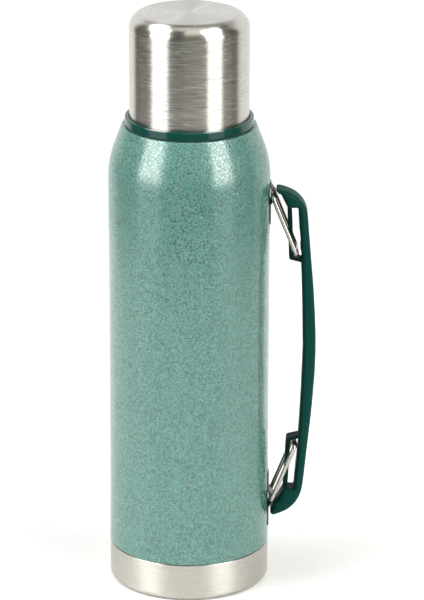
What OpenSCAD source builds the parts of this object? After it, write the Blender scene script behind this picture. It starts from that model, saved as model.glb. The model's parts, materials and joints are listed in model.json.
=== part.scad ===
// Vacuum flask with a drinking cup, a screw stopper and a folding side handle.
// Millimetres. Origin on the flask's axis, on the face it stands on; +Z up, handle towards +X.

/* [Body] */
// Outer radius of the body
body_r = 50; // [48:0.5:51]
// Sheet thickness of the steel walls
wall = 0.8; // [0.6:0.1:1]
// Height of the bright base band
band_h = 23.9; // [20:0.1:28]
// Rounding of the base band's lower edge
band_round = 3.5; // [2.5:0.1:5]
// Height where the shoulder starts to turn in
shoulder_z = 263.5; // [258:0.5:266]
// Radius of the shoulder's curve
shoulder_R = 60; // [50:1:70]
// Angle of the shoulder's cone from vertical, in degrees
shoulder_a = 20.7; // [18:0.1:22]
// Height of the ledge that the collar stands on
ledge_z = 297; // [296:0.1:299]

/* [Inner vessel] */
// Outer radius of the inner vessel
vessel_r = 43.2; // [41:0.1:44.5]
// Height where the inner vessel's dome starts
dome_z = 254; // [252:1:256]
// Outer radius of the inner vessel's neck
neck_r = 27; // [26.5:0.1:27.2]
// Height of the pouring rim
mouth_z = 316.6; // [316:0.1:317]

/* [Collar] */
// Outer radius of the collar
collar_r = 39.6; // [39.2:0.1:40.4]
// Height of the collar's lip
lip_z = 302.6; // [302.2:0.1:303]
// Radius of the collar's neck, at the root of its thread
collar_neck_r = 31; // [30.5:0.1:31.1]

/* [Cup] */
// Outer radius of the cup
cup_r = 36.9; // [36.6:0.1:37]
// Height of the cup's flat top above the floor
cup_top = 367.5; // [364:0.5:372]
// Rounding of the cup's top edge
cup_round = 9; // [8.5:0.1:12]
// Height of the cup's rim above the floor
cup_rim_z = 301.9; // [301.7:0.1:302.1]

/* [Stopper] */
// Radius of the stopper's flange
flange_r = 29.3; // [29:0.1:30]
// Radius of the stopper's grip
grip_r = 26.5; // [24:0.5:28]
// Height of the stopper's top above the floor
stopper_top = 340; // [335:0.5:346]
// Number of flutes round the grip
flutes = 24; // [16:1:30]

/* [Threads] */
// Rise of the cup's and the stopper's thread in one turn
thread_pitch = 4; // [3.5:0.1:4.2]
// Number of thread ridges
thread_ridges = 3; // [2:1:3]

/* [Handle] */
// Height of the handle's middle
handle_z = 151.3; // [150:0.1:153]
// Width of the grip and hooks
handle_w = 16; // [12:0.5:17]
// Width of the two cage walls behind the windows
cage_w = 10; // [8:0.5:12]
// Lean of the handle away from the body at its top, in degrees
handle_lean = 0.4; // [0.3:0.05:0.5]

/* [Bails and brackets] */
// Diameter of the bail wire
wire_d = 2.8; // [2.4:0.1:2.8]
// Distance between the centres of a bail's two legs
bail_w = 20.6; // [20:0.1:24]
// Height of the upper bracket's pivot
pivot_top = 252.45; // [252:0.05:253]
// Height of the lower bracket's pivot
pivot_low = 51.35; // [51:0.05:52]
// Distance of both pivots from the flask's axis
pivot_x = 51.6; // [51.6:0.05:51.8]
// Reach of a bail across, from its bracket pivot to the handle
bail_dx = 14.8; // [14.6:0.05:15]
// Reach of a bail along the body
bail_dz = 37; // [36.8:0.05:37.2]
// Width of a bracket strap
strap_w = 13; // [10:0.5:14]
// Thickness of a bracket strap over the wire
strap_t = 0.8; // [0.6:0.1:0.9]
// Height of a bracket's flat tabs above the body
tab_t = 0.5; // [0.4:0.1:0.8]

/* [Hidden] */
$fn = 96;

// Narrow bands: the green wall starts a hair above the base band.
seam = 0.4;
shell_foot = 6;
wall_low_r = body_r - wall - 0.05;
shell_neck_r = neck_r + 0.6 + wall;
cup_arc_r = cup_r - cup_round;
cup_arc_z = cup_top - cup_round;
ridge_h = 1.0;

green = [0.43, 0.60, 0.54];
dark_green = [0.05, 0.25, 0.20];
steel = [0.72, 0.71, 0.67];
dark = [0.10, 0.11, 0.11];
black_plastic = [0.13, 0.14, 0.14];

// Points of an arc about [cr, cz], from angle a0 to a1.
function arc(cr, cz, R, a0, a1, n) =
  [for (i = [0:n]) let (a = a0 + (a1 - a0) * i / n) [cr + R * cos(a), cz + R * sin(a)]];
function rev(v) = [for (i = [len(v) - 1:-1:0]) v[i]];

// Smooth curve through a row of points (Catmull-Rom), n steps a span.
function pick(p, i) = p[max(0, min(len(p) - 1, i))];
function crom(p, i, t) =
  let (a = pick(p, i - 1), b = pick(p, i), c = pick(p, i + 1), d = pick(p, i + 2))
  0.5 * (2 * b + (c - a) * t + (2 * a - 5 * b + 4 * c - d) * t * t
    + (3 * b - a - 3 * c + d) * t * t * t);
function smooth(p, n) =
  concat([for (i = [0:len(p) - 2]) for (k = [0:n - 1]) crom(p, i, k / n)], [p[len(p) - 1]]);

module turned(points) { rotate_extrude() polygon(points); }
module ring(ri, ro, z0, z1) { turned([[ri, z0], [ro, z0], [ro, z1], [ri, z1]]); }

// Thread stand-in: level ridges one pitch apart, out of or into a round wall.
module ridges(root, crest, z0, base = 2.4, tip = 0.8) {
  sink = crest > root ? -0.3 : 0.3;
  for (i = [0:thread_ridges - 1])
    turned([[root + sink, z0 + i * thread_pitch - base / 2],
      [root, z0 + i * thread_pitch - base / 2], [crest, z0 + i * thread_pitch - tip / 2],
      [crest, z0 + i * thread_pitch + tip / 2], [root, z0 + i * thread_pitch + base / 2],
      [root + sink, z0 + i * thread_pitch + base / 2]]);
}

// ---------------------------------------------------------------- body

// Shoulder line of the outer wall, moved inwards by o.
function shoulder(o) =
  let (a = shoulder_a,
    e = [body_r - shoulder_R + shoulder_R * cos(a), shoulder_z + shoulder_R * sin(a)],
    run = ledge_z - 0.5 - e[1])
  concat(arc(body_r - shoulder_R, shoulder_z, shoulder_R - o, 0, a, 10),
    [[e[0] - run * tan(a) - o * cos(a), e[1] + run - o * sin(a)]]);
function ledge_out() = let (s = shoulder(0)) s[len(s) - 1][0];

module outer_shell() {
  color(green) turned(concat(
    [[wall_low_r, shell_foot], [wall_low_r, band_h + seam], [body_r, band_h + seam]],
    shoulder(0),
    [[ledge_out() - 0.35, ledge_z - 0.12], [ledge_out() - 0.9, ledge_z],
     [shell_neck_r + 0.8, ledge_z], [shell_neck_r, ledge_z + 0.8],
     [shell_neck_r, mouth_z - wall], [shell_neck_r - wall, mouth_z - wall],
     [shell_neck_r - wall, ledge_z - wall], [ledge_out() - 1.2, ledge_z - wall]],
    rev(shoulder(wall)),
    [[body_r - wall, band_h + seam + wall + 0.4], [wall_low_r - wall, band_h + seam + 0.4],
     [wall_low_r - wall, shell_foot]]));
}

module base_band() {
  color(steel) turned(concat(
    [[0, 0], [38, 0], [38.5, 0.4], [39.5, 0.4], [40, 0]],
    arc(body_r - band_round, band_round, band_round, -90, 0, 8),
    [[body_r, band_h], [body_r - wall, band_h]],
    arc(body_r - band_round, band_round, band_round - wall, 0, -90, 8),
    [[0, wall]]));
}

module outer_bottom() {
  r = wall_low_r - wall;
  color(steel) difference() {
    turned([[0, 6.4], [r - 3, 6.4], [r, 9.4], [r, 15], [r - wall, 15], [r - wall, 9.7],
      [r - 3.3, 7.2], [0, 7.2]]);
    translate([0, 0, 5]) cylinder(r = 1.2, h = 4, $fn = 32);
  }
}

module vacuum_plug() {
  color("goldenrod") union() {
    translate([0, 0, 5]) cylinder(r = 4, h = 1.4, $fn = 48);
    translate([0, 0, 6.3]) cylinder(r = 1.2, h = 0.9, $fn = 32);
  }
}

// Inner wall: cylinder, dome and neck, moved inwards by o.
dome_R = 34;
dome_a = 55;
neck_blend = (vessel_r - neck_r - dome_R * (1 - cos(dome_a))) / (1 - cos(dome_a));
function dome(o) = concat(
  arc(vessel_r - dome_R, dome_z, dome_R - o, 0, dome_a, 12),
  arc(neck_r + neck_blend, dome_z + (dome_R + neck_blend) * sin(dome_a), neck_blend + o,
    180 + dome_a, 180, 5));

module inner_vessel() {
  color(steel) union() {
    turned(concat([[vessel_r, 17]], dome(0),
      [[neck_r, mouth_z - wall], [28.9, mouth_z - wall], [29.2, mouth_z - 0.4],
       [28.9, mouth_z], [neck_r - wall + 0.3, mouth_z], [neck_r - wall, mouth_z - 0.3]],
      rev(dome(wall)), [[vessel_r - wall, 17]]));
    ridges(neck_r - wall, neck_r - wall - 0.8, 301, 2.2, 0.7);
  }
}

module inner_bottom() {
  r = vessel_r - wall;
  color(steel) turned(concat([[0, 13.2]], arc(r - 5, 18.2, 5, -90, 0, 8),
    [[r, 19.9], [r - wall, 19.9]], arc(r - 5, 18.2, 5 - wall, 0, -90, 8), [[0, 13.2 + wall]]));
}

module getter() {
  color("dimgray") translate([0, 0, 10.1]) cylinder(r = 5, h = 2.6, $fn = 48);
}

module getter_clip() {
  color(steel) turned([[3, 9.5], [6, 9.5], [6, 13.2], [5, 13.2], [5, 10.1], [3, 10.1]]);
}

module radiation_foil() { color("silver") ring(vessel_r + 0.3, vessel_r + 0.6, 27, 252); }

// ---------------------------------------------------------------- neck

module collar_gasket() { color(dark) ring(33, collar_r - 0.5, ledge_z, ledge_z + 0.6); }

module neck_collar() {
  r = collar_r;
  z = ledge_z + 0.6;
  color(dark_green) union() {
    turned([[shell_neck_r, z], [r - 0.3, z], [r, z + 0.3], [r, lip_z - 0.7],
      [r - 0.25, lip_z - 0.2], [r - 0.8, lip_z], [cup_r + 0.7, lip_z],
      [cup_r + 0.35, lip_z - 0.3], [cup_r + 0.35, 300.3], [collar_neck_r, 300.3],
      [collar_neck_r, 314.9], [collar_neck_r - 0.5, 315.4], [shell_neck_r, 315.4]]);
    ridges(collar_neck_r, collar_neck_r + ridge_h, 304.4);
  }
}

// ---------------------------------------------------------------- cup

function cup_line(o) = arc(cup_arc_r, cup_arc_z, cup_round - o, 0, 90, 10);

module cup_layer(o, t, z0) {
  turned(concat([[cup_r - o, z0]], cup_line(o), [[0, cup_top - o], [0, cup_top - o - t]],
    rev(cup_line(o + t)), [[cup_r - o - t, z0]]));
}

module cup_shell() { color(steel) cup_layer(0, 0.8, cup_rim_z); }

module cup_insulation() { color("ivory") cup_layer(0.85, 1.35, cup_rim_z + 1.8); }

module cup_liner() {
  color(black_plastic) union() {
    cup_layer(2.25, 1.5, cup_rim_z);
    ring(cup_r - 3, cup_r - 0.85, cup_rim_z, cup_rim_z + 1.7);
    ridges(cup_r - 3.75, cup_r - 3.75 - 0.9, 306.4);
  }
}

module cup_gasket() { color(dark) ring(33.6, 36.4, 300.6, 301.6); }

// ---------------------------------------------------------------- stopper

stop_root = neck_r - wall - 2.0;
flange_z = mouth_z + 1.4;

module stopper_body() {
  color(black_plastic) union() {
    turned([[stop_root - 2, 286.4], [22.4, 286.4], [22.4, 290], [stop_root, 290],
      [stop_root, flange_z], [flange_r - 0.4, flange_z], [flange_r, flange_z + 0.4],
      [flange_r, flange_z + 2.6], [flange_r - 0.4, flange_z + 3], [stop_root - 2, flange_z + 3]]);
    translate([0, 0, 286.4]) cylinder(r = stop_root - 1.9, h = 1.4);
    ridges(stop_root, stop_root + ridge_h, 303, 2.2, 0.7);
  }
}

module stopper_insulation() {
  color("ivory") translate([0, 0, 287.9]) cylinder(r = stop_root - 2.1, h = flange_z + 2.8 - 287.9);
}

module stopper_cap() {
  z0 = flange_z + 3.05;
  color(black_plastic) difference() {
    turned(concat([[0, z0], [grip_r, z0], [grip_r, stopper_top - 3]],
      arc(grip_r - 3, stopper_top - 3, 3, 0, 90, 6),
      [[18, stopper_top], [16, stopper_top - 2], [0, stopper_top - 2]]));
    for (i = [0:flutes - 1]) rotate([0, 0, i * 360 / flutes])
      translate([grip_r + 1.2, 0, z0 + 1.5]) cylinder(r = 2.2, h = 40, $fn = 24);
  }
}

module stopper_plate() {
  color(steel) turned([[0, 284.6], [22.9, 284.6], [23.4, 285.2], [23.4, 286.3], [0, 286.3]]);
}

module stopper_gasket() {
  color("white") turned([[22.5, 286.6], [24.6, 286.6], [25.9, 288], [25.9, 288.6], [24.6, 289.8],
    [22.5, 289.8]]);
}

module stopper_flange_seal() {
  color("white") ring(26.6, 28.8, mouth_z + 0.25, flange_z - 0.1);
}

// ---------------------------------------------------------------- brackets and bails

// Strap with an arch over the bail's cross wire, cut to sit on the round body; its two tabs
// reach up and down from the pivot.
module bracket(zc, up, down) {
  ri = wire_d / 2 + 0.08;
  ro = ri + strap_t;
  x1 = body_r + tab_t;
  color(steel) difference() {
    rotate([90, 0, 0]) linear_extrude(strap_w, center = true) difference() {
      polygon(concat([[body_r - 1.5, zc - down], [x1, zc - down], [x1, zc - 6.2]],
        arc(pivot_x, zc, ro, -62, 62, 12),
        [[x1, zc + 6.2], [x1, zc + up], [body_r - 1.5, zc + up]]));
      polygon(concat([[body_r - 2, zc - 5.6], [body_r + 0.05, zc - 5.6]],
        arc(pivot_x, zc, ri, -62, 62, 12),
        [[body_r + 0.05, zc + 5.6], [body_r - 2, zc + 5.6]]));
    }
    translate([0, 0, zc - 30]) cylinder(r = body_r, h = 60, $fn = 180);
  }
}

module upper_bracket() { bracket(pivot_top, 7.8, 19); }
module lower_bracket() { bracket(pivot_low, 17, 19); }

// Closed wire loop, from the bracket pivot at the origin to the handle at [bail_dx, up * bail_dz].
module bail(up) {
  len = sqrt(bail_dx * bail_dx + bail_dz * bail_dz);
  r = wire_d / 2;
  h = bail_w / 2;
  bend = 3;
  color("silver") rotate([0, up > 0 ? atan2(bail_dx, bail_dz) : 180 - atan2(bail_dx, bail_dz), 0])
    union() {
      for (z = [0, len]) translate([0, h - bend, z]) rotate([90, 0, 0])
        cylinder(r = r, h = 2 * (h - bend), $fn = 32);
      for (s = [-1, 1]) {
        translate([0, s * h, bend]) cylinder(r = r, h = len - 2 * bend, $fn = 32);
        for (e = [0, 1]) translate([0, s * (h - bend), e == 0 ? bend : len - bend])
          rotate([90, 0, 90]) rotate([0, 0, e == 0 ? (s > 0 ? 270 : 180) : (s > 0 ? 0 : 90)])
            rotate_extrude(angle = 90, $fn = 32) translate([bend, 0]) circle(r = r, $fn = 32);
      }
    }
}

module upper_bail() { translate([pivot_x, 0, pivot_top]) bail(-1); }
module lower_bail() { translate([pivot_x, 0, pivot_low]) bail(1); }

// ---------------------------------------------------------------- handle

// Half of the handle's side view, [distance from the flask's axis, height above its middle].
grip_back = [[79, 0], [78.8, 12], [77.9, 28], [76.9, 42], [75.6, 56], [74.2, 71], [72.9, 85]];
// The two hooks differ: the upper one is blunter, the lower one reaches further.
hook_top = [[72.2, 90.5], [70.4, 95.2], [67.2, 99.3], [63, 102.3], [58.3, 104.2], [54.8, 105.1]];
hook_low = [[71.9, 93], [70, 98.9], [66.9, 103.6], [62.8, 107.3], [58, 109.7], [54.2, 111]];
nose_top = [[53.4, 104.9], [52.9, 104]];
nose_low = [[52.7, 110.6], [52.1, 109.3]];
hook_seat = [[54.4, 102.2], [55.8, 101.8], [60.2, 92.9]];
window_out = [[66.6, 93.2], [67.5, 80], [68.6, 69.5], [68.3, 68], [68.3, 66.4], [68.9, 65.2],
  [69.1, 60]];
grip_front = [[68.9, 57], [69.4, 48], [70.2, 28], [70.7, 10], [70.9, 0]];
cage_in = [[59.9, 93.5], [60.2, 86], [60.7, 75], [61.1, 66], [61.4, 59.4]];
cage_out = [[62.7, 93.5], [63.4, 80], [63.8, 72], [64.1, 61]];

function flip(v) = [for (p = v) [p[0], -p[1]]];

module side(points, w) { rotate([90, 0, 0]) linear_extrude(w, center = true) polygon(points); }

module half_handle(s) {
  m = s > 0 ? 0 : 1;
  mirror([0, 0, m]) union() {
    // hook and grip
    side(concat(smooth(concat(grip_back, s > 0 ? hook_top : hook_low), 3),
      s > 0 ? nose_top : nose_low, hook_seat, [[62.7, 93.2]], window_out, grip_front), handle_w);
    // cage wall and foot
    side(concat([[60.4, 94.5]], cage_in, [[69.6, 57.4], [69.6, 59.2], [64.1, 61.0]],
      rev(cage_out), [[62.7, 94.5]]), cage_w);
  }
}

module handle() {
  color(dark_green) translate([62, 0, handle_z]) rotate([0, handle_lean, 0])
    translate([-62, 0, 0]) union() { half_handle(1); half_handle(-1); }
}

outer_shell();
base_band();
outer_bottom();
vacuum_plug();
inner_vessel();
inner_bottom();
getter();
getter_clip();
radiation_foil();
neck_collar();
collar_gasket();
cup_shell();
cup_insulation();
cup_liner();
cup_gasket();
stopper_body();
stopper_insulation();
stopper_cap();
stopper_plate();
stopper_gasket();
stopper_flange_seal();
upper_bracket();
lower_bracket();
upper_bail();
lower_bail();
handle();
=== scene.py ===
"""Looks for the vacuum flask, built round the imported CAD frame. Lengths in the helpers are millimetres."""
import json
import math

import bpy
import bmesh
import numpy as np
from mathutils import Matrix, Vector
from mathutils.geometry import delaunay_2d_cdt

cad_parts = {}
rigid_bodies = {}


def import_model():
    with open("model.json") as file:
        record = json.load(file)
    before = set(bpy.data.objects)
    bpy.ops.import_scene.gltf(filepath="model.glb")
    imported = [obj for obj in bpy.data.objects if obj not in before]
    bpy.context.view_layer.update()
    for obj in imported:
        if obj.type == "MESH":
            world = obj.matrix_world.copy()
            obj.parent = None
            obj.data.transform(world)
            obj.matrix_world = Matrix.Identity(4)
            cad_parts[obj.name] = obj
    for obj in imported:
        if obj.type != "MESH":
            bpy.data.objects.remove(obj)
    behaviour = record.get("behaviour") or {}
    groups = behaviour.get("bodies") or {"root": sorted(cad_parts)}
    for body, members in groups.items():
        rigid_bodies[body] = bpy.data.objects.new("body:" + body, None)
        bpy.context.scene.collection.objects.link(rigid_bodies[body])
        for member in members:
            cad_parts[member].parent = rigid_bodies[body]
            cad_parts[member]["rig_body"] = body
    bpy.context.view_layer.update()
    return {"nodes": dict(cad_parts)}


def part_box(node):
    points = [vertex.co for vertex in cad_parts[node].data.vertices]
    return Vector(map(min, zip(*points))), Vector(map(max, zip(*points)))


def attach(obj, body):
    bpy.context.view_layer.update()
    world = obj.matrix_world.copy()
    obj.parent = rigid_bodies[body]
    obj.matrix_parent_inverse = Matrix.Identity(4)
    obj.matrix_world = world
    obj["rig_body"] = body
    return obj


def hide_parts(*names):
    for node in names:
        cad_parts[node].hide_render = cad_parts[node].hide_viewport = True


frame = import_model()
MM = 0.001
PI = math.pi


def span(node):
    lo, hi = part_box(node)
    return [c / MM for c in lo], [c / MM for c in hi]


# ------------------------------------------------------------------ camera, floor and light

cam_data = bpy.data.cameras.new("camera")
cam_data.sensor_fit = "AUTO"
cam_data.sensor_width = 36.0
cam_data.lens = 230.1
cam_data.clip_start = 0.05
cam_data.clip_end = 30.0
cam = bpy.data.objects.new("camera", cam_data)
bpy.context.scene.collection.objects.link(cam)
cam.matrix_world = (
    Matrix.Translation((0.01418, -2.2544, 0.9719))
    @ Matrix.Rotation(math.radians(90 - 19.30), 4, "X")
    @ Matrix.Rotation(math.radians(0.156), 4, "Z")
)
bpy.context.scene.camera = cam
bpy.context.scene.view_settings.view_transform = "Standard"
bpy.context.scene.view_settings.look = "None"


class Nodes:
    """Short names for building a node tree."""

    def __init__(self, tree):
        self.t = tree

    def new(self, kind, inputs=None, **props):
        n = self.t.nodes.new("ShaderNode" + kind)
        for k, v in props.items():
            setattr(n, k, v)
        for k, v in (inputs or {}).items():
            self.put(n.inputs[k], v)
        return n

    def put(self, socket, v):
        if isinstance(v, bpy.types.NodeSocket):
            self.t.links.new(v, socket)
        else:
            socket.default_value = v

    def math(self, op, a, b=0.0, c=0.0, clamp=False):
        n = self.t.nodes.new("ShaderNodeMath")
        n.operation = op
        n.use_clamp = clamp
        for i, v in enumerate((a, b, c)):
            self.put(n.inputs[i], v)
        return n.outputs[0]

    def vmath(self, op, a, b=(0, 0, 0)):
        n = self.t.nodes.new("ShaderNodeVectorMath")
        n.operation = op
        self.put(n.inputs[0], a)
        if op == "SCALE":
            self.put(n.inputs[3], b)
        else:
            self.put(n.inputs[1], b)
        return n.outputs[0]

    def step(self, x, lo, hi, a=0.0, b=1.0):
        n = self.t.nodes.new("ShaderNodeMapRange")
        n.interpolation_type = "SMOOTHSTEP"
        n.clamp = True
        self.put(n.inputs["Value"], x)
        for k, v in (("From Min", lo), ("From Max", hi), ("To Min", a), ("To Max", b)):
            self.put(n.inputs[k], v)
        return n.outputs["Result"]

    def mix(self, f, a, b):
        n = self.t.nodes.new("ShaderNodeMix")
        n.data_type = "RGBA"
        self.put(n.inputs[0], f)
        self.put(n.inputs[6], a)
        self.put(n.inputs[7], b)
        return n.outputs[2]

    def ramp(self, f, stops, mode="LINEAR"):
        n = self.t.nodes.new("ShaderNodeValToRGB")
        n.color_ramp.interpolation = mode
        e = n.color_ramp.elements
        while len(e) > 1:
            e.remove(e[0])
        e[0].position = stops[0][0]
        e[0].color = (*stops[0][1], 1)
        for p, c in stops[1:]:
            k = e.new(p)
            k.color = (*c, 1)
        self.put(n.inputs[0], f)
        return n.outputs[0]


STRIP = 8.2


def make_world():
    w = bpy.data.worlds.new("studio")
    bpy.context.scene.world = w
    w.use_nodes = True
    g = Nodes(w.node_tree)
    w.node_tree.nodes.clear()
    out = g.new("OutputWorld")
    co = g.new("TexCoord").outputs["Generated"]
    d = g.new("SeparateXYZ", {0: co})
    x, y, z = d.outputs
    # azimuth 0 is the camera's side, positive towards the handle; elevation 0 is the horizon
    az = g.math("MULTIPLY", g.math("ARCTAN2", x, g.math("MULTIPLY", y, -1.0)), 180 / PI)
    el = g.math("MULTIPLY", g.math("ARCSINE", z), 180 / PI)
    a01 = g.math("MULTIPLY_ADD", az, 1 / 360, 0.5)

    def at(deg):
        return deg / 360 + 0.5

    dark = (0.14, 0.145, 0.128)
    umber = (0.165, 0.145, 0.125)
    walls = g.ramp(a01, [
        (0.0, (0.98, 0.985, 0.975)), (at(-134), (1.10, 1.10, 1.08)), (at(-121), umber),
        (at(-106), umber), (at(-103.5), (0.25, 0.24, 0.22)), (at(-101), umber),
        (at(-84), (0.18, 0.165, 0.15)), (at(-40), dark), (at(-26), (0.105, 0.11, 0.097)), (at(-14), (0.13, 0.135, 0.118)),
        (at(-4), (0.20, 0.197, 0.168)), (at(26), (0.235, 0.227, 0.19)), (at(34), dark), (at(62), dark),
        (at(72), (0.19, 0.17, 0.15)), (at(82), (0.25, 0.215, 0.185)), (at(90), (0.15, 0.135, 0.115)),
        (at(102), (0.15, 0.135, 0.115)), (at(112), (0.90, 0.89, 0.86)), (at(124), (1.02, 1.03, 1.01)),
        (1.0, (0.98, 0.985, 0.975)),
    ])
    # the backdrop ends, then a dark ring, then the ceiling's own white
    walls = g.mix(g.step(el, 28, 40), walls, g.ramp(a01, [
        (0.0, (0.55, 0.55, 0.54)), (at(-130), (0.50, 0.50, 0.48)), (at(-100), umber), (at(-40), dark), (at(-26), (0.06, 0.065, 0.052)), (at(-15), (0.09, 0.09, 0.08)),
        (at(-8), (0.60, 0.58, 0.52)), (at(26), (0.62, 0.59, 0.51)), (at(70), (0.15, 0.14, 0.12)), (at(96), (0.14, 0.13, 0.11)),
        (at(120), (0.62, 0.61, 0.59)), (1.0, (0.55, 0.55, 0.54))]))
    walls = g.mix(g.step(el, 43, 50), walls, g.ramp(a01, [
        (0.0, (0.20, 0.20, 0.19)), (at(-60), (0.12, 0.12, 0.11)), (at(-30), (0.07, 0.075, 0.062)), (at(-17), (0.10, 0.10, 0.09)), (at(-9), (1.25, 1.21, 1.09)),
        (at(26), (1.15, 1.11, 1.00)), (at(40), (0.45, 0.44, 0.40)), (at(90), (0.16, 0.15, 0.13)), (1.0, (0.20, 0.20, 0.19))]))
    walls = g.mix(g.step(el, 66, 77), walls, (0.99, 1.0, 0.98, 1))

    def edge(a_lo, a_hi, e_lo, e_hi):
        return g.step(el, e_lo, e_hi, a_lo, a_hi)

    def between(x, lo, hi, soft=6.0):
        up = g.step(g.math("SUBTRACT", x, lo), -soft / 2, soft / 2)
        down = g.step(g.math("SUBTRACT", hi, x), -soft / 2, soft / 2)
        return g.math("MULTIPLY", up, down)

    end = g.step(el, 68, 61)
    strip_l = between(az, edge(-76, -145, 26, 60), edge(-41, -60, 22, 60), 8.0)
    strip_r = between(az, edge(35, 38, 50, 64), edge(65, 93, 30, 60), 6.0)
    low = g.step(el, -8, 4, 1.02, STRIP)
    low = g.math("MULTIPLY", g.math("MULTIPLY", low, g.step(el, -60, -35)), end)
    level = g.math("MULTIPLY", g.math("ADD", strip_l, strip_r), low)
    strips = g.new("Emission", {"Color": (1.0, 0.995, 0.985, 1), "Strength": level})
    room = g.new("Emission", {"Color": walls, "Strength": 1.0})
    s2 = g.new("AddShader", {0: strips.outputs[0], 1: room.outputs[0]})
    soft = g.new("Emission", {"Color": (1.0, 0.995, 0.98, 1), "Strength": g.step(el, -10, 60, 0.30, 0.72)})
    white = g.new("Emission", {"Color": (1, 1, 1, 1), "Strength": 1.05})
    ray = g.new("LightPath")
    matt = g.math("MULTIPLY", ray.outputs["Is Diffuse Ray"], 0.95)
    m = g.new("MixShader", {0: matt, 1: s2.outputs[0], 2: soft.outputs[0]})
    m = g.new("MixShader", {0: ray.outputs["Is Camera Ray"], 1: m.outputs[0], 2: white.outputs[0]})
    g.put(out.inputs["Surface"], m.outputs[0])


make_world()


def area(name, loc, target, size, power, colour=(1, 1, 1), glossy=False):
    d = bpy.data.lights.new(name, "AREA")
    d.shape = "RECTANGLE"
    d.size, d.size_y = size
    d.energy = power
    d.color = colour
    o = bpy.data.objects.new(name, d)
    bpy.context.scene.collection.objects.link(o)
    o.location = loc
    o.rotation_euler = (Vector(target) - Vector(loc)).to_track_quat("-Z", "Y").to_euler()
    o.visible_camera = False
    o.visible_glossy = glossy
    return o


area("overhead", (0.0, 0.1, 1.9), (0, 0, 0), (2.2, 2.2), 2)


def make_floor():
    me = bpy.data.meshes.new("floor")
    n = 160
    rings = (0.35, 0.70)
    verts, faces = [(0.0, 0.0, 0.0)], []
    for r in rings:
        for i in range(n):
            a = 2 * PI * i / n
            verts.append((r * math.cos(a), r * math.sin(a), 0.0))
    for i in range(n):
        j = (i + 1) % n
        faces.append((0, 1 + i, 1 + j))
        faces.append((1 + i, 1 + n + i, 1 + n + j, 1 + j))
    me.from_pydata(verts, [], faces)
    o = bpy.data.objects.new("floor", me)
    bpy.context.scene.collection.objects.link(o)
    o.location.z = -0.0002
    m = bpy.data.materials.new("floor")
    m.use_nodes = True
    g = Nodes(m.node_tree)
    b = m.node_tree.nodes["Principled BSDF"]
    b.inputs["Base Color"].default_value = (0.84, 0.84, 0.835, 1)
    b.inputs["Roughness"].default_value = 0.7
    b.inputs["Specular IOR Level"].default_value = 0.2
    me.materials.append(m)


make_floor()

# ------------------------------------------------------------------ mesh helpers


def body_of(node):
    return frame["nodes"][node]["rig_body"]


def to_object(name, verts, faces, sharp=38.0, weld=True):
    me = bpy.data.meshes.new(name)
    me.from_pydata([tuple(c * MM for c in v) for v in verts], [], faces)
    b = bmesh.new()
    b.from_mesh(me)
    if weld:
        bmesh.ops.remove_doubles(b, verts=b.verts, dist=0.002 * MM)
    bmesh.ops.recalc_face_normals(b, faces=b.faces)
    b.to_mesh(me)
    b.free()
    me.shade_smooth()
    me.set_sharp_from_angle(angle=math.radians(sharp))
    o = bpy.data.objects.new(name, me)
    bpy.context.scene.collection.objects.link(o)
    w = o.modifiers.new("even_normals", "WEIGHTED_NORMAL")
    w.mode = "FACE_AREA"
    w.weight = 50
    w.keep_sharp = True
    return o


def fillet(points, n=5):
    """Closed outline; a point's third number is the radius of its corner."""
    out = []
    m = len(points)
    for i, p in enumerate(points):
        rad = p[2] if len(p) > 2 else 0.0
        if rad <= 0:
            out.append((p[0], p[1]))
            continue
        c = np.array(p[:2], float)
        a = np.array(points[i - 1][:2], float) - c
        b = np.array(points[(i + 1) % m][:2], float) - c
        la, lb = np.linalg.norm(a), np.linalg.norm(b)
        a, b = a / la, b / lb
        half = 0.5 * math.acos(max(-1.0, min(1.0, float(a @ b))))
        if half > math.radians(88):
            out.append((p[0], p[1]))
            continue
        d = min(rad / math.tan(half), 0.48 * la, 0.48 * lb)
        r = d * math.tan(half)
        mid = a + b
        mid /= np.linalg.norm(mid)
        o = c + mid * r / math.sin(half)
        s, e = c + a * d - o, c + b * d - o
        a0, a1 = math.atan2(s[1], s[0]), math.atan2(e[1], e[0])
        da = (a1 - a0 + PI) % (2 * PI) - PI
        for k in range(n + 1):
            t = a0 + da * k / n
            out.append((o[0] + r * math.cos(t), o[1] + r * math.sin(t)))
    return out


def arc(cr, cz, R, a0, a1, n):
    return [(cr + R * math.cos(math.radians(a0 + (a1 - a0) * i / n)),
             cz + R * math.sin(math.radians(a0 + (a1 - a0) * i / n))) for i in range(n + 1)]


def line(p, q, n):
    return [(p[0] + (q[0] - p[0]) * i / n, p[1] + (q[1] - p[1]) * i / n) for i in range(n + 1)]


def lathe(name, profile, seg=192, shape=None, sharp=38.0):
    """Turns a closed (r, z) outline about the axis. shape(r, z, angle) may move the radius."""
    verts, rings, faces = [], [], []
    for r, z in profile:
        if r < 1e-4:
            rings.append([len(verts)])
            verts.append((0.0, 0.0, z))
            continue
        ring = []
        for k in range(seg):
            a = 2 * PI * k / seg
            q = shape(r, z, a) if shape else r
            ring.append(len(verts))
            verts.append((q * math.cos(a), q * math.sin(a), z))
        rings.append(ring)
    m = len(rings)
    for i in range(m):
        A, B = rings[i], rings[(i + 1) % m]
        if len(A) == 1 and len(B) == 1:
            continue
        for k in range(seg):
            j = (k + 1) % seg
            if len(A) == 1:
                faces.append((A[0], B[k], B[j]))
            elif len(B) == 1:
                faces.append((A[k], B[0], A[j]))
            else:
                faces.append((A[k], A[j], B[j], B[k]))
    return to_object(name, verts, faces, sharp)


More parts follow.
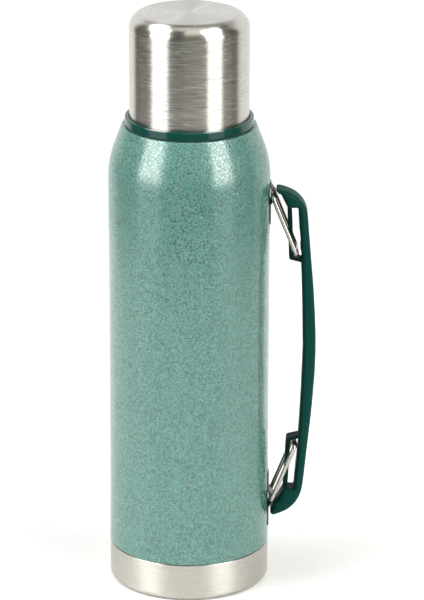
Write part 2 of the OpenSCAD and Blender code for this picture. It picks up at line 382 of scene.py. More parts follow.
def thread(z0, turns, pitch, height, base, tip, fade=0.10):
    """Right-handed thread: how far the wall stands proud at height z and angle a."""

    def h(z, a):
        u = (a / (2 * PI)) % 1.0
        best = 0.0
        for k in range(-1, int(turns) + 2):
            t = k + u
            if t < 0 or t > turns:
                continue
            dz = abs(z - (z0 + pitch * t))
            if dz > base / 2:
                continue
            f = 1.0 if dz < tip / 2 else (base / 2 - dz) / (base / 2 - tip / 2)
            f = f * f * (3 - 2 * f)
            e = min(t, turns - t) / fade
            e = 1.0 if e > 1 else e * e * (3 - 2 * e)
            best = max(best, height * f * e)
        return best

    return h


def sweep(name, path, r, sides=20, closed=True):
    """Round wire along a path, with frames carried along it."""
    p = np.array(path, float)
    n = len(p)
    t = np.roll(p, -1, 0) - np.roll(p, 1, 0) if closed else np.gradient(p, axis=0)
    t /= np.linalg.norm(t, axis=1)[:, None]
    up = np.array((1.0, 0.0, 0.35))
    verts, faces = [], []
    for i in range(n):
        u = up - t[i] * (up @ t[i])
        u /= np.linalg.norm(u)
        v = np.cross(t[i], u)
        for k in range(sides):
            a = 2 * PI * k / sides
            verts.append(tuple(p[i] + r * (math.cos(a) * u + math.sin(a) * v)))
    for i in range(n if closed else n - 1):
        j = (i + 1) % n
        for k in range(sides):
            l = (k + 1) % sides
            faces.append((i * sides + k, i * sides + l, j * sides + l, j * sides + k))
    return to_object(name, verts, faces, 60)


def smooth_line(pts, n):
    """Catmull-Rom through the points."""
    out = []
    m = len(pts)
    for i in range(m - 1):
        a, b, c, d = (np.array(pts[max(0, min(m - 1, i + k))], float) for k in (-1, 0, 1, 2))
        for k in range(n):
            t = k / n
            out.append(tuple(0.5 * (2 * b + (c - a) * t + (2 * a - 5 * b + 4 * c - d) * t * t
                                    + (3 * b - a - 3 * c + d) * t ** 3)))
    out.append(tuple(pts[-1]))
    return out


def resample(poly, step):
    out = []
    m = len(poly)
    for i in range(m):
        a, b = np.array(poly[i], float), np.array(poly[(i + 1) % m], float)
        L = float(np.linalg.norm(b - a))
        k = max(1, int(math.ceil(L / step)))
        for j in range(k):
            out.append(tuple(a + (b - a) * j / k))
    return out


def distance_inside(poly, q):
    """Distance of points q to the closed outline, negative outside."""
    P = np.array(poly, float)
    Q = np.roll(P, -1, 0)
    q = np.array(q, float)
    best = np.full(len(q), 1e9)
    inside = np.zeros(len(q), bool)
    for a, b in zip(P, Q):
        ab = b - a
        L = float(ab @ ab)
        if L < 1e-12:
            continue
        t = np.clip(((q - a) @ ab) / L, 0, 1)
        d = np.hypot(q[:, 0] - a[0] - t * ab[0], q[:, 1] - a[1] - t * ab[1])
        best = np.minimum(best, d)
        crosses = (a[1] > q[:, 1]) != (b[1] > q[:, 1])
        if crosses.any():
            with np.errstate(divide="ignore", invalid="ignore"):
                xc = a[0] + (q[:, 1] - a[1]) * ab[0] / ab[1]
            inside ^= crosses & (q[:, 0] < xc)
    return np.where(inside, best, -best)


def pillow(name, outline, width, rim, grid=1.3, step=0.8, place=None, sharp=40.0):
    """A plate of a given width across Y whose two faces' edges are rounded with radius rim."""
    edge = resample(outline, step)
    m = len(edge)
    E = np.array(edge)
    pts = list(edge)
    area2 = float(np.sum(E[:, 0] * np.roll(E[:, 1], -1) - np.roll(E[:, 0], -1) * E[:, 1]))
    sign = 1.0 if area2 > 0 else -1.0
    tan = np.roll(E, -1, 0) - np.roll(E, 1, 0)
    tan /= np.maximum(np.linalg.norm(tan, axis=1)[:, None], 1e-9)
    nrm = np.stack([-tan[:, 1], tan[:, 0]], 1) * sign
    for f in (0.04, 0.14, 0.32, 0.58, 0.86):
        d = rim * f
        ring = E + nrm * d
        keep = distance_inside(edge, ring) > d * 0.93
        pts += [tuple(c) for c in ring[keep]]
    lo, hi = E.min(0), E.max(0)
    gx = np.arange(lo[0] + grid / 2, hi[0], grid)
    gz = np.arange(lo[1] + grid / 2, hi[1], grid)
    G = np.array([(x + (grid / 2 if k % 2 else 0), z) for k, z in enumerate(gz) for x in gx])
    pts += [tuple(c) for c in G[distance_inside(edge, G) > rim * 1.05]]
    res = delaunay_2d_cdt([Vector(p) for p in pts], [(i, (i + 1) % m) for i in range(m)], [], 1, 1e-5)
    v2 = [(p.x, p.y) for p in res[0]]
    tris = res[2]
    d = distance_inside(edge, v2)
    on_edge = d < 1e-4
    d = np.clip(np.where(on_edge, 0, d), 0, rim)
    h = width / 2 - rim + np.sqrt(np.maximum(rim ** 2 - (rim - d) ** 2, 0))
    n = len(v2)
    verts = [(x, -hh, z) for (x, z), hh in zip(v2, h)] + [(x, hh, z) for (x, z), hh in zip(v2, h)]
    faces = []
    count = {}
    for t in tris:
        t = list(t)
        faces.append(tuple(t))
        faces.append(tuple(i + n for i in reversed(t)))
        for a, b in zip(t, t[1:] + t[:1]):
            count[(a, b)] = count.get((a, b), 0) + 1
    for (a, b) in list(count):
        if (b, a) not in count:
            faces.append((b, a, a + n, b + n))
    if place:
        verts = [place(v) for v in verts]
    return to_object(name, verts, faces, sharp)


def cad(node):
    return frame["nodes"][node]


def finish_piece(o, node, mat):
    o.data.materials.clear()
    o.data.materials.append(mat)
    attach(o, body_of(node))
    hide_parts(node)
    return o


# ------------------------------------------------------------------ materials


def material(name, colour, metallic=0.0, roughness=0.5, **more):
    m = bpy.data.materials.new(name)
    m.use_nodes = True
    b = m.node_tree.nodes["Principled BSDF"]
    b.inputs["Base Color"].default_value = (*colour, 1)
    b.inputs["Metallic"].default_value = metallic
    b.inputs["Roughness"].default_value = roughness
    for k, v in more.items():
        b.inputs[k.replace("_", " ")].default_value = v
    return m, Nodes(m.node_tree), b


def obj_coords(g):
    return g.new("TexCoord").outputs["Object"]


def hammertone():
    m, g, b = material("hammertone_green", (0.1, 0.25, 0.2), 0.20, 0.42,
                       Specular_IOR_Level=0.12,
                       Coat_Weight=1.0, Coat_Roughness=0.12, Coat_IOR=1.92)
    co = obj_coords(g)
    warp = g.new("TexNoise", {"Vector": co, "Scale": 600.0, "Detail": 1.0})
    off = g.vmath("SCALE", g.vmath("SUBTRACT", warp.outputs["Color"], (0.5, 0.5, 0.5)), 0.0028)
    p = g.vmath("ADD", co, off)
    vor = g.new("TexVoronoi", {"Vector": p, "Scale": 520.0}, feature="DISTANCE_TO_EDGE")
    edge = g.step(vor.outputs["Distance"], 0.06, 0.16, 1.0, 0.0)
    gap = g.new("TexNoise", {"Vector": co, "Scale": 640.0, "Detail": 0.0})
    gaps = g.step(gap.outputs["Fac"], 0.33, 0.45)
    worm = g.new("TexNoise", {"Vector": p, "Scale": 560.0, "Detail": 0.0})
    iso = g.math("ABSOLUTE", g.math("SUBTRACT", worm.outputs["Fac"], 0.5))
    iso = g.step(iso, 0.010, 0.034, 0.9, 0.0)
    vein = g.math("MAXIMUM", g.math("MULTIPLY", edge, gaps), iso)
    mottle = g.new("TexNoise", {"Vector": co, "Scale": 60.0, "Detail": 2.0})
    light = g.mix(mottle.outputs["Fac"], (0.038, 0.174, 0.138, 1), (0.048, 0.189, 0.152, 1))
    colour = g.mix(g.math("MULTIPLY", vein, 0.95), light, (0.006, 0.068, 0.052, 1))
    g.put(b.inputs["Base Color"], colour)
    g.put(b.inputs["Roughness"], g.math("MULTIPLY_ADD", vein, 0.12, 0.38))
    fine = g.new("TexNoise", {"Vector": co, "Scale": 1100.0, "Detail": 1.0})
    height = g.math("MULTIPLY_ADD", vein, -1.0, g.math("MULTIPLY", fine.outputs["Fac"], 0.6))
    bump = g.new("Bump", {"Height": height, "Strength": 0.7, "Distance": 0.00014})
    g.put(b.inputs["Normal"], bump.outputs[0])
    g.put(b.inputs["Coat Normal"], bump.outputs[0])
    return m


def brushed(name, colour, rough=0.3, aniso=0.75, streak=1.0):
    """Sheet steel brushed round the axis."""
    m, g, b = material(name, colour, 1.0, rough, Anisotropic=aniso, Anisotropic_Rotation=0.25)
    t = g.new("Tangent", direction_type="RADIAL", axis="Z")
    g.put(b.inputs["Tangent"], t.outputs[0])
    co = obj_coords(g)
    s = g.new("SeparateXYZ", {0: co})
    x, y, z = s.outputs
    r = g.math("SQRT", g.math("ADD", g.math("MULTIPLY", x, x), g.math("MULTIPLY", y, y)))
    along = g.math("SUBTRACT", z, r)
    line_co = g.new("CombineXYZ", {0: g.math("MULTIPLY", x, 95.0), 1: g.math("MULTIPLY", y, 95.0),
                                   2: g.math("MULTIPLY", along, 1500.0)})
    fine = g.new("TexNoise", {"Vector": line_co.outputs[0], "Scale": 1.0, "Detail": 4.0, "Roughness": 0.7})
    line2 = g.new("CombineXYZ", {0: g.math("MULTIPLY", x, 90.0), 1: g.math("MULTIPLY", y, 90.0),
                                 2: g.math("MULTIPLY", along, 3600.0)})
    hair = g.new("TexNoise", {"Vector": line2.outputs[0], "Scale": 1.0, "Detail": 2.0, "Roughness": 0.8})
    both = g.math("MULTIPLY_ADD", fine.outputs["Fac"], 0.65, g.math("MULTIPLY", hair.outputs["Fac"], 0.35))
    dark = tuple(c * (1 - 0.16 * streak) for c in colour)
    lite = tuple(min(1.0, c * (1 + 0.11 * streak)) for c in colour)
    g.put(b.inputs["Base Color"], g.mix(g.step(both, 0.30, 0.70), (*dark, 1), (*lite, 1)))
    g.put(b.inputs["Roughness"], g.step(both, 0.25, 0.75, rough - 0.05, rough + 0.07))
    bump = g.new("Bump", {"Height": both, "Strength": 0.22 * streak, "Distance": 0.00002})
    g.put(b.inputs["Normal"], bump.outputs[0])
    return m


def sheet_steel(name, colour, rough=0.34, tint=(0.85, 0.95)):
    m, g, b = material(name, colour, 1.0, rough)
    co = obj_coords(g)
    n1 = g.new("TexNoise", {"Vector": co, "Scale": 60.0, "Detail": 5.0})
    n2 = g.new("TexNoise", {"Vector": co, "Scale": 1400.0, "Detail": 2.0})
    g.put(b.inputs["Base Color"], g.mix(n1.outputs["Fac"], (*[c * tint[0] for c in colour], 1),
                                        (*[min(1, c * (2 - tint[1])) for c in colour], 1)))
    g.put(b.inputs["Roughness"], g.step(n1.outputs["Fac"], 0.3, 0.7, rough - 0.06, rough + 0.08))
    bump = g.new("Bump", {"Height": n2.outputs["Fac"], "Strength": 0.12, "Distance": 0.00003})
    g.put(b.inputs["Normal"], bump.outputs[0])
    return m


def plastic(name, colour, rough=0.35, grain=0.1, coat=0.0, spec=0.5, grain_scale=1500.0):
    m, g, b = material(name, colour, 0.0, rough, Specular_IOR_Level=spec, Coat_Weight=coat, Coat_Roughness=0.08)
    co = obj_coords(g)
    big = g.new("TexNoise", {"Vector": co, "Scale": 28.0, "Detail": 3.0})
    small = g.new("TexNoise", {"Vector": co, "Scale": grain_scale, "Detail": 2.0})
    g.put(b.inputs["Base Color"], g.mix(big.outputs["Fac"], (*[c * 0.86 for c in colour], 1),
                                        (*[c * 1.14 for c in colour], 1)))
    g.put(b.inputs["Roughness"], g.step(small.outputs["Fac"], 0.3, 0.7, rough - 0.04, rough + 0.05))
    bump = g.new("Bump", {"Height": small.outputs["Fac"], "Strength": grain, "Distance": 0.00005})
    g.put(b.inputs["Normal"], bump.outputs[0])
    return m


def wire_metal():
    m, g, b = material("bright_wire", (0.46, 0.43, 0.40), 1.0, 0.16)
    co = obj_coords(g)
    n = g.new("TexNoise", {"Vector": co, "Scale": 500.0, "Detail": 3.0})
    g.put(b.inputs["Roughness"], g.step(n.outputs["Fac"], 0.35, 0.7, 0.12, 0.24))
    g.put(b.inputs["Base Color"], g.mix(n.outputs["Fac"], (0.40, 0.375, 0.345, 1), (0.54, 0.515, 0.485, 1)))
    return m


def foam_material():
    m, g, b = material("foam_cells", (0.85, 0.79, 0.64), 0.0, 0.95)
    co = obj_coords(g)
    v = g.new("TexVoronoi", {"Vector": co, "Scale": 900.0})
    g.put(b.inputs["Base Color"], g.mix(v.outputs["Distance"], (0.70, 0.62, 0.47, 1), (0.88, 0.83, 0.70, 1)))
    bump = g.new("Bump", {"Height": v.outputs["Distance"], "Strength": 0.6, "Distance": 0.0002})
    g.put(b.inputs["Normal"], bump.outputs[0])
    return m


def foil_material():
    m, g, b = material("crinkled_foil", (0.86, 0.86, 0.87), 1.0, 0.22)
    co = obj_coords(g)
    v = g.new("TexVoronoi", {"Vector": co, "Scale": 140.0})
    n = g.new("TexNoise", {"Vector": co, "Scale": 60.0, "Detail": 5.0})
    h = g.math("ADD", v.outputs["Distance"], n.outputs["Fac"])
    bump = g.new("Bump", {"Height": h, "Strength": 0.5, "Distance": 0.0004})
    g.put(b.inputs["Normal"], bump.outputs[0])
    g.put(b.inputs["Roughness"], g.step(n.outputs["Fac"], 0.3, 0.7, 0.16, 0.32))
    return m


def rubber_material(name, colour, rough=0.7):
    m, g, b = material(name, colour, 0.0, rough, Specular_IOR_Level=0.35)
    co = obj_coords(g)
    n = g.new("TexNoise", {"Vector": co, "Scale": 1100.0, "Detail": 3.0})
    n2 = g.new("TexNoise", {"Vector": co, "Scale": 70.0, "Detail": 2.0})
    g.put(b.inputs["Base Color"], g.mix(n2.outputs["Fac"], (*[c * 0.85 for c in colour], 1),
                                        (*[min(1, c * 1.15) for c in colour], 1)))
    bump = g.new("Bump", {"Height": n.outputs["Fac"], "Strength": 0.2, "Distance": 0.00005})
    g.put(b.inputs["Normal"], bump.outputs[0])
    return m


GREEN = hammertone()
CUP = brushed("cup_brushed", (0.62, 0.605, 0.565), 0.22, 0.85)
BASE = brushed("base_brushed", (0.500, 0.486, 0.440), 0.30, 0.75, 0.6)
DISC = brushed("plate_brushed", (0.60, 0.60, 0.58), 0.28, 0.6, 0.6)
PLAIN = sheet_steel("plain_sheet", (0.58, 0.58, 0.56))
# painted reflection: the steel brackets get a near-black colour that stands in for the dark surroundings they
# reflect edge-on
BRACKET_PAINTED_DARK = sheet_steel("bracket_sheet_painted_dark", (0.055, 0.055, 0.050), 0.36)
WIRE = wire_metal()
COLLAR = plastic("collar_plastic", (0.0005, 0.036, 0.029), 0.08, 0.03, 0.0, 0.6)
GRIP = plastic("grip_plastic", (0.002, 0.037, 0.029), 0.42, 0.10, 0.0, 0.06)
# painted shade: the cage walls get a darker copy of the grip plastic, standing in for the shade in their recess
CAGE_PAINTED_SHADE = plastic("cage_plastic_painted_shade", (0.0025, 0.0165, 0.0145), 0.45, 0.10, 0.0, 0.06)
BLACK = plastic("black_plastic", (0.028, 0.031, 0.031), 0.42, 0.15)
FOAM = foam_material()
RUBBER = rubber_material("gasket_rubber", (0.022, 0.022, 0.022))
SILICONE = rubber_material("seal_silicone", (0.66, 0.66, 0.62), 0.5)
FOIL = foil_material()
GETTER = rubber_material("getter_sinter", (0.14, 0.14, 0.15), 0.8)
BRAZE = sheet_steel("braze_button", (0.66, 0.46, 0.20), 0.4)

# ------------------------------------------------------------------ the body

lo, hi = span("outer_shell")
R = hi[0]
top_of_neck = hi[2]
lo_b, hi_b = span("base_band")
band = hi_b[2]
foot = lo[2]
SHOULDER_Z, SHOULDER_R, SHOULDER_A, LEDGE, T = 263.5, 60.0, 20.7, 297.0, 0.8


def shoulder(o, n=26):
    a = math.radians(SHOULDER_A)
    e = (R - SHOULDER_R + SHOULDER_R * math.cos(a), SHOULDER_Z + SHOULDER_R * math.sin(a))
    run = LEDGE - 0.5 - e[1]
    end = (e[0] - run * math.tan(a) - o * math.cos(a), e[1] + run - o * math.sin(a))
    return arc(R - SHOULDER_R, SHOULDER_Z, SHOULDER_R - o, 0, SHOULDER_A, n) + [end]


def make_shell():
    seam = band + 0.4
    s, i = shoulder(0.0), shoulder(T)
    edge = s[-1][0]
    low = R - T - 0.05
    nr = 28.4
    p = [(low, foot), (low, seam, 0.1), (R, seam, 0.3), (R, seam + 3), (R, 120), (R, 200), (R, 250)]
    p += s[:-1] + [(edge + 0.12, LEDGE - 0.7), (edge - 0.55, LEDGE, 0.5)]
    p += [(nr + 0.8, LEDGE, 0.5), (nr, LEDGE + 0.8, 0.4), (nr, top_of_neck, 0.15), (nr - T, top_of_neck, 0.15),
          (nr - T, LEDGE - T), (edge - 1.2, LEDGE - T)]
    p += i[::-1] + [(R - T, seam + T + 0.4), (low - T, seam + 0.4), (low - T, foot)]
    return lathe("green_wall", fillet(p), 256)


finish_piece(make_shell(), "outer_shell", GREEN)


def make_base():
    q = 3.5
    p = [(0, 0), (37.6, 0), (38.3, 0.4, 0.3), (39.7, 0.4, 0.3), (40.4, 0)]
    p += arc(R - q, q, q, -90, 0, 14)
    p += [(R, 8), (R, band, 0.3), (R - T, band, 0.25)]
    p += arc(R - q, q, q - T, 0, -90, 8) + [(0, T)]
    return lathe("base_cup", fillet(p), 256)


finish_piece(make_base(), "base_band", BASE)

# ------------------------------------------------------------------ the inner vessel

lo, hi = span("inner_vessel")
VR = 43.2
NECK = 27.0
MOUTH = hi[2]
DOME_Z, DOME_R, DOME_A = 254.0, 34.0, 55.0


def dome(o):
    c = 1 - math.cos(math.radians(DOME_A))
    blend = (VR - NECK - DOME_R * c) / c
    return (arc(VR - DOME_R, DOME_Z, DOME_R - o, 0, DOME_A, 20)
            + arc(NECK + blend, DOME_Z + (DOME_R + blend) * math.sin(math.radians(DOME_A)), blend + o,
                  180 + DOME_A, 180, 8))


def make_vessel():
    ri = NECK - T
    p = [(VR, lo[2])] + dome(0.0)
    p += [(NECK, MOUTH - 1.4), (NECK, MOUTH - T, 0.2), (28.9, MOUTH - T, 0.25), (29.2, MOUTH - 0.4, 0.2), (28.9, MOUTH, 0.3),
          (ri + 0.3, MOUTH, 0.3), (ri, MOUTH - 0.3, 0.3)]
    p += line((ri, 312.0), (ri, 298.6), 66)
    p += dome(T)[::-1] + [(VR - T, lo[2])]
    h = thread(300.95, 2.05, 4.0, 0.8, 2.2, 0.7)

    def shape(r, z, a):
        return r - h(z, a) if abs(r - ri) < 0.01 and 298.5 < z < 312.1 else r

    return lathe("inner_wall", fillet(p), 192, shape)


finish_piece(make_vessel(), "inner_vessel", PLAIN)


def make_floor_cup():
    lo, hi = span("inner_bottom")
    r, z = VR - T, lo[2]
    p = [(0, z)] + arc(r - 5, z + 5, 5, -90, 0, 14) + [(r, hi[2]), (r - T, hi[2])]
    p += arc(r - 5, z + 5, 5 - T, 0, -90, 14) + [(0, z + T)]
    return lathe("inner_floor", p, 160)


finish_piece(make_floor_cup(), "inner_bottom", PLAIN)

# ------------------------------------------------------------------ the collar

lo, hi = span("neck_collar")
CR, CZ, CTOP = hi[0], lo[2], hi[2]
lo_c, hi_c = span("cup_shell")
CUP_R, CUP_TOP, CUP_RIM = hi_c[0], hi_c[2], lo_c[2]


def make_collar():
    r, z = CR, CZ
    lip = CZ + 5.0
    rn = 31.0
    p = [(28.4, z), (r, z, 0.35), (r, lip - 0.45, 0.25), (r - 0.35, lip, 0.4), (CUP_R + 0.35, lip, 0.35),
         (CUP_R + 0.35, 300.3, 0.3), (rn, 300.3, 0.3)]
    p += line((rn, 301.6), (rn, 314.0), 62)
    p += [(rn, 314.9), (rn - 0.5, CTOP, 0.3), (28.4, CTOP)]
    h = thread(304.25, 2.1, 4.0, 1.0, 2.4, 0.8)

    def shape(r, z, a):
        return r + h(z, a) if abs(r - rn) < 0.01 and 301.5 < z < 314.1 else r

    return lathe("collar", fillet(p), 224, shape)


finish_piece(make_collar(), "neck_collar", COLLAR)

# ------------------------------------------------------------------ the cup

ROUND = 9.0


def cup_arc(o, n):
    return arc(CUP_R - ROUND, CUP_TOP - ROUND, ROUND - o, 0, 90, n)


def make_cup():
    p = [(CUP_R, CUP_RIM, 0.3), (CUP_R, CUP_RIM + 2), (CUP_R, 330)] + cup_arc(0, 28)
    p += [(14, CUP_TOP), (0, CUP_TOP), (0, CUP_TOP - T), (14, CUP_TOP - T)]
    p += cup_arc(T, 14)[::-1] + [(CUP_R - T, CUP_RIM, 0.3)]
    return lathe("cup_wall", fillet(p), 256)


finish_piece(make_cup(), "cup_shell", CUP)


def make_liner():
    ri = 33.15
    lo, hi = span("cup_liner")
    zt = hi[2]
    p = [(ri, lo[2], 0.3), (36.05, lo[2], 0.3), (36.05, lo[2] + 1.7, 0.2), (34.65, lo[2] + 1.7, 0.2)]
    p += cup_arc(2.25, 12) + [(0, zt), (0, zt - 1.5), (16, zt - 1.5)]
    p += cup_arc(3.75, 14)[::-1]
    p += line((ri, 317.0), (ri, 303.4), 68)
    h = thread(306.3, 2.05, 4.0, 0.9, 2.4, 0.8)

    def shape(r, z, a):
        return r - h(z, a) if abs(r - ri) < 0.01 and 303.3 < z < 317.1 else r

    return lathe("cup_inner", fillet(p), 192, shape)


finish_piece(make_liner(), "cup_liner", BLACK)

# ------------------------------------------------------------------ the stopper

SR = 24.2
lo, hi = span("stopper_body")
FZ = hi[2] - 3.0


def make_plug():
    z = lo[2]
    p = [(0, z), (22.4, z, 0.2), (22.4, 290.0, 0.2), (SR, 290.0, 0.3), (SR, 299.0)]
    p += line((SR, 300.6), (SR, 313.2), 63)
    p += [(SR, FZ, 0.5), (29.3, FZ, 0.4), (29.3, FZ + 3.0, 0.5), (22.2, FZ + 3.0), (22.2, z + 1.4), (0, z + 1.4)]
    h = thread(302.9, 2.05, 4.0, 1.0, 2.2, 0.7)

    def shape(r, z, a):
        return r + h(z, a) if abs(r - SR) < 0.01 and 300.5 < z < 313.3 else r

    return lathe("stopper_plug", fillet(p), 192, shape)


finish_piece(make_plug(), "stopper_body", BLACK)


def make_grip():
    lo, hi = span("stopper_cap")
    z0, z1, r = lo[2], hi[2], 26.5
    p = [(0, z0), (r, z0, 0.3), (r, z0 + 1.2)]
    p += line((r, z0 + 1.5), (r, z0 + 4.5), 8) + [(r, z1 - 3.0)]
    p += arc(r - 3, z1 - 3, 3, 0, 90, 10)
    p += [(18.4, z1, 0.5), (16.2, z1 - 2.0, 0.6), (0, z1 - 2.0)]

    def shape(q, z, a):
        if q < 20 or z < z0 + 1.4:
            return q
        pitch = 2 * PI / 24
        d = (a + pitch / 2) % pitch - pitch / 2
        s = 2.2 ** 2 - (27.7 * math.sin(d)) ** 2
        if s <= 0:
            return q
        cut = 27.7 * math.cos(d) - math.sqrt(s)
        k = min(1.0, (z - z0 - 1.4) / 3.0)
        k = k * k * (3 - 2 * k)
        return q - max(0.0, r - cut) * k * (1.0 if q > r - 0.5 else max(0.0, (q - 23.0) / 3.0))

    return lathe("stopper_grip", fillet(p), 432, shape, 50)


finish_piece(make_grip(), "stopper_cap", BLACK)


def make_disc():
    lo, hi = span("stopper_plate")
    z0, z1 = lo[2], hi[2]
    p = [(0, z0 + 0.5), (15.0, z0 + 0.5, 3.0), (17.5, z0, 2.0), (22.9, z0, 0.6), (23.4, z0 + 0.6, 0.4), (23.4, z1, 0.3), (0, z1)]
    return lathe("stopper_disc", fillet(p, 6), 160)


finish_piece(make_disc(), "stopper_plate", DISC)


def make_ring_seal():
    p = [(22.5, 286.6, 0.2), (24.4, 286.6, 0.5), (25.9, 287.9, 0.4), (25.5, 288.3, 0.3), (25.9, 288.8, 0.3), (24.4, 289.8, 0.5), (22.5, 289.8, 0.2)]
    return lathe("stopper_ring", fillet(p), 160)


finish_piece(make_ring_seal(), "stopper_gasket", SILICONE)


def make_flat_ring(name, node, r=0.2):
    lo, hi = span(node)
    me = np.array([v.co for v in cad(node).data.vertices]) / MM
    rad = np.hypot(me[:, 0], me[:, 1])
    ri, ro = float(rad.min()), hi[0]
    p = [(ri, lo[2], r), (ro, lo[2], r), (ro, hi[2], r), (ri, hi[2], r)]
    return lathe(name, fillet(p), 160)


finish_piece(make_flat_ring("mouth_seal", "stopper_flange_seal", 0.25), "stopper_flange_seal", SILICONE)
finish_piece(make_flat_ring("cup_seat_ring", "cup_gasket", 0.3), "cup_gasket", RUBBER)
finish_piece(make_flat_ring("collar_seal", "collar_gasket", 0.15), "collar_gasket", RUBBER)

# ------------------------------------------------------------------ brackets and bails

WIRE_D = 2.8
PX, PT, PL = 51.6, 252.45, 51.35


def make_bracket(name, zc, node):
    b_lo, b_hi = span(node)
    up, down, half = b_hi[2] - zc, zc - b_lo[2], b_hi[1]
    ri, ro, x1 = WIRE_D / 2 + 0.08, WIRE_D / 2 + 0.88, R + 0.5
    x0 = R
    outer = line((x1, zc - down), (x1, zc - 6.2), 24)[:-1] + [(x1, zc - 6.2)]
    outer += arc(PX, zc, ro, -62, 62, 16) + line((x1, zc + 6.2), (x1, zc + up), 20)
    inner = line((x0, zc + up), (x0, zc + 5.6), 20) + arc(PX, zc, ri, 62, -62, 14)
    inner += line((x0, zc - 5.6), (x0, zc - down), 24)
    sec = outer + inner
    stations = 41
    verts, faces = [], []
    n = len(sec)
    for s in range(stations):
        t = -1 + 2 * s / (stations - 1)
        t = math.copysign(1 - (1 - abs(t)) ** 1.25, t)
        for i, (x, z) in enumerate(sec):
            end = min(z - (zc - down), (zc + up) - z)
            w = half
            if end < 3.0:
                w -= 3.0 - math.sqrt(max(0.0, 9.0 - (3.0 - end) ** 2))
            y = t * w
            sag = R - math.sqrt(R * R - y * y)
            k = max(0.0, min(1.0, (51.4 - x) / 0.9))
            xx = x - sag * k + (0.02 if x <= x0 + 1e-6 else 0)
            if i < len(outer):
                edge = max(0.0, (abs(y) - (w - 0.25)) / 0.25)
                xx -= 0.12 * edge * edge
                for dz in ((-15.0, -10.0) if z < zc else ((12.0,) if up > 12 else ())):
                    for dy in (-3.2, 3.2):
                        q = math.hypot(y - dy, z - zc - dz)
                        if q < 1.5:
                            xx -= 0.22 * (0.5 + 0.5 * math.cos(PI * q / 1.5))
            verts.append((xx, y, z))
    for s in range(stations - 1):
        for i in range(n):
            j = (i + 1) % n
            faces.append((s * n + i, s * n + j, (s + 1) * n + j, (s + 1) * n + i))
    # end caps: the strap's section, closed as a strip between its outer and inner lines
    for s in (0, stations - 1):
        o = [s * n + i for i in range(len(outer))]
        q = [s * n + i for i in range(n - 1, len(outer) - 1, -1)]
        i = j = 0
        while i < len(o) - 1 or j < len(q) - 1:
            if j == len(q) - 1 or (i < len(o) - 1 and i / (len(o) - 1) <= j / (len(q) - 1)):
                faces.append((o[i], o[i + 1], q[j]))
                i += 1
            else:
                faces.append((o[i], q[j + 1], q[j]))
                j += 1
    return to_object(name, verts, faces, 34)


# both brackets use the near-black steel that paints their dark reflection
finish_piece(make_bracket("bracket_top", PT, "upper_bracket"), "upper_bracket", BRACKET_PAINTED_DARK)
finish_piece(make_bracket("bracket_low", PL, "lower_bracket"), "lower_bracket", BRACKET_PAINTED_DARK)


def make_bail(name, px, pz, up):
    dx, dz, half, bend = 14.8, 37.0 * up, 10.3, 3.0
    L = math.hypot(dx, dz)
    e = np.array((dx / L, 0, dz / L))
    o = np.array((px, 0, pz))
    y = np.array((0, 1.0, 0))
    corners = [(0, -half), (0, half), (L, half), (L, -half)]
    path = fillet([(a, b, bend) for a, b in corners], 10)
    fine = []
    for i, p in enumerate(path):
        q = path[(i + 1) % len(path)]
        d = math.hypot(q[0] - p[0], q[1] - p[1])
        k = max(1, int(d / 2.5)) if d > 2 else 1
        fine += [(p[0] + (q[0] - p[0]) * j / k, p[1] + (q[1] - p[1]) * j / k) for j in range(k)]
    return sweep(name, [tuple(o + e * a + y * b) for a, b in fine], WIRE_D / 2, 24)


finish_piece(make_bail("wire_loop_top", PX, PT, -1), "upper_bail", WIRE)
finish_piece(make_bail("wire_loop_low", PX, PL, 1), "lower_bail", WIRE)

# ------------------------------------------------------------------ the handle

HZ, LEAN, HW, CW = 151.3, math.radians(0.4), 16.0, 10.0
BACK = [(79, 0), (78.8, 12), (77.9, 28), (76.9, 42), (75.6, 56), (74.2, 71), (72.9, 85)]
HOOK_TOP = [(72.2, 90.5), (70.4, 95.2), (67.2, 99.3), (63, 102.3), (58.3, 104.2), (54.8, 105.1)]
HOOK_LOW = [(71.9, 93), (70, 98.9), (66.9, 103.6), (62.8, 107.3), (58, 109.7), (54.2, 111)]
SEAT = [(54.4, 102.2, 1.0), (55.8, 101.8, 1.0), (60.2, 92.9, 0.3)]
NOSE_TOP = [(53.4, 104.9, 0.6), (52.9, 104, 0.5)] + SEAT
NOSE_LOW = [(52.7, 110.6, 0.6), (52.1, 109.3, 0.7)] + SEAT
WINDOW = [(62.7, 93.2, 0.6), (66.6, 93.2, 0.9), (67.5, 80), (68.6, 69.5), (68.3, 68), (68.3, 66.4), (68.9, 65.2), (69.1, 60)]
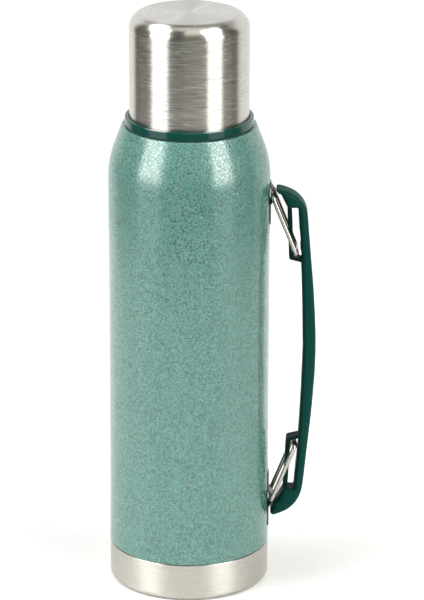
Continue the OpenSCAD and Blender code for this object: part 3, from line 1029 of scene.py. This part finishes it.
FRONT = [(68.9, 57), (69.4, 48), (70.2, 28), (70.7, 10), (70.9, 0)]
CAGE_IN = [(59.9, 93.5), (60.2, 86), (60.7, 75), (61.1, 66), (61.4, 59.4, 1.6)]
CAGE_OUT = [(62.7, 93.5), (63.4, 80), (63.8, 72), (64.1, 61, 0.8)]


def lean(v):
    x, y, z = v
    a, b = x - 62.0, z
    return (62.0 + a * math.cos(LEAN) + b * math.sin(LEAN), y, HZ - a * math.sin(LEAN) + b * math.cos(LEAN))


def mirror(pts):
    return [(p[0], -p[1], *p[2:]) for p in pts][::-1]


def make_handle():
    top = [tuple(p) for p in smooth_line(BACK + HOOK_TOP, 5)] + NOSE_TOP + WINDOW + FRONT[:-1]
    low = [tuple(p) for p in smooth_line(BACK + HOOK_LOW, 5)] + NOSE_LOW + WINDOW + FRONT[:-1]
    outline = top + [FRONT[-1]] + mirror(low)[:-1]
    main = pillow("grip_handle", fillet(outline, 5), HW, 3.2, 1.4, 0.8, lean)
    parts = []
    for s in (1, -1):
        c = [(60.4, 94.5)] + CAGE_IN + [(69.6, 57.4), (69.6, 59.2), (64.1, 61.0, 0.8)] + CAGE_OUT[::-1][1:] + [(62.7, 94.5)]
        c = [(p[0], p[1] * s, *p[2:]) for p in c]
        parts.append(pillow("cage", fillet(c, 5), CW, 0.7, 1.2, 0.7, lean))
    bpy.ops.object.select_all(action="DESELECT")
    for p in parts:
        p.select_set(True)
    cages = parts[0]
    bpy.context.view_layer.objects.active = cages
    bpy.ops.object.join()
    cages.name = cages.data.name = "grip_cages"
    return main, cages


grip, cages = make_handle()
finish_piece(grip, "handle", GRIP)
# the cages take the darker copy of the grip plastic, which paints the shade of their recess
finish_piece(cages, "handle", CAGE_PAINTED_SHADE)

# ------------------------------------------------------------------ CAD nodes that stay


def dress(node, mat):
    o = cad(node)
    o.data.materials.clear()
    o.data.materials.append(mat)


for node, mat in (("outer_bottom", PLAIN), ("vacuum_plug", BRAZE), ("getter", GETTER), ("getter_clip", PLAIN),
                  ("radiation_foil", FOIL), ("cup_insulation", FOAM), ("stopper_insulation", FOAM)):
    dress(node, mat)
